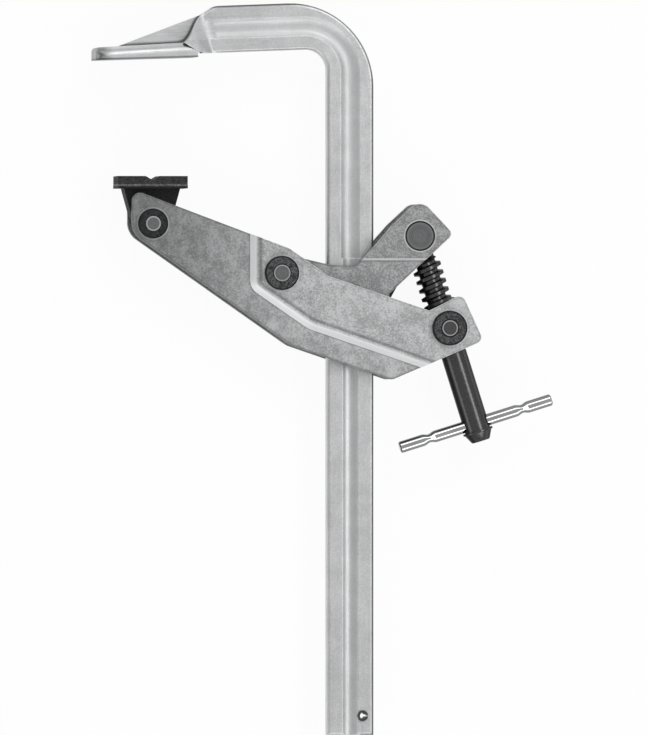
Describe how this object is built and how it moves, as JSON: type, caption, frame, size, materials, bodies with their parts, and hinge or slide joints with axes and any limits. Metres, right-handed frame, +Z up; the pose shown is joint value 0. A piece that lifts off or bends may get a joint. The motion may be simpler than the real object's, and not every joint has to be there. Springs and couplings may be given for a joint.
{
  "type": "claw clamp",
  "caption": "Bar clamp with a forged claw on a grooved rail and a sliding lever arm whose swivel pad is pressed up by a screw with a tommy bar.",
  "frame": {"origin": "middle of the claw's flat clamping face, right over the middle of the swivel pad", "axes": "+Y along the rail towards the claw, +X from the throat towards the rail and the screw, +Z up through the clamp's thickness as it lies on its side"},
  "size_m": [0.3114, 0.4924, 0.0464],
  "materials": {
    "forged_steel": "zinc plated, drawn, satin",
    "galvanised_sheet": "galvanised, mottled, satin",
    "black_steel": "black oxide, satin",
    "turned_steel": "turned, zinc plated",
    "bright_steel": "polished bright drawn steel"
  },
  "bodies": {
    "rail": {"rail": "forged_steel", "stop_pin": "black_steel"},
    "slider": {"cheek_front": "galvanised_sheet", "cheek_back": "galvanised_sheet", "front_block": "black_steel", "rear_block": "black_steel", "front_rivet": "galvanised_sheet", "rear_rivet": "galvanised_sheet", "pivot_spacer": "black_steel"},
    "seat": {"screw_seat": "turned_steel", "snap_ring": "black_steel"},
    "screw": {"spindle": "black_steel"},
    "handle": {"tommy_bar": "bright_steel"},
    "arm": {"arm_plate_front": "galvanised_sheet", "arm_plate_back": "galvanised_sheet", "arm_pivot_pin": "black_steel", "arm_pivot_washer_front": "black_steel", "arm_pivot_washer_back": "black_steel", "pad_pin": "black_steel", "pad_pin_washer_front": "black_steel", "pad_pin_washer_back": "black_steel"},
    "nut": {"trunnion_nut": "black_steel", "nut_washer_front": "black_steel", "nut_washer_back": "black_steel"},
    "pad": {"swivel_pad": "black_steel"}
  },
  "joints": [
    {"name": "slider_travel", "type": "slide", "parent": "rail", "child": "slider", "axis": [0, 1, 0], "range_m": [-0.264, 0.066]},
    {"name": "seat_tilt", "type": "hinge", "parent": "slider", "child": "seat", "pos_m": [0.1807, -0.1191, 0], "axis": [0, 0, -1], "range_deg": [-13.24, 2.21]},
    {"name": "screw_turn", "type": "hinge", "parent": "seat", "child": "screw", "pos_m": [0.1807, -0.1191, 0], "axis": [-0.3, 0.9539, 0], "range_deg": [-1080, 180]},
    {"name": "handle_slide", "type": "slide", "parent": "screw", "child": "handle", "axis": [0.9539, 0.3, 0], "range_m": [-0.012, 0.012]},
    {"name": "arm_swing", "type": "hinge", "parent": "slider", "child": "arm", "pos_m": [0.0865, -0.1441, 0], "axis": [0, 0, -1], "range_deg": [-10.7, 1.79]},
    {"name": "nut_tilt", "type": "hinge", "parent": "arm", "child": "nut", "pos_m": [0.2002, -0.1811, 0], "axis": [0, 0, -1], "range_deg": [-2.54, 0.43]},
    {"name": "pad_swivel", "type": "hinge", "parent": "arm", "child": "pad", "pos_m": [0, -0.1109, 0], "axis": [0, 0, 1], "range_deg": [-20, 10]}
  ],
  "couplings": [
    {"joint": "arm_swing", "follows": "screw_turn", "ratio": 0.0099},
    {"joint": "seat_tilt", "follows": "screw_turn", "ratio": 0.01225},
    {"joint": "nut_tilt", "follows": "screw_turn", "ratio": 0.00235}
  ]
}
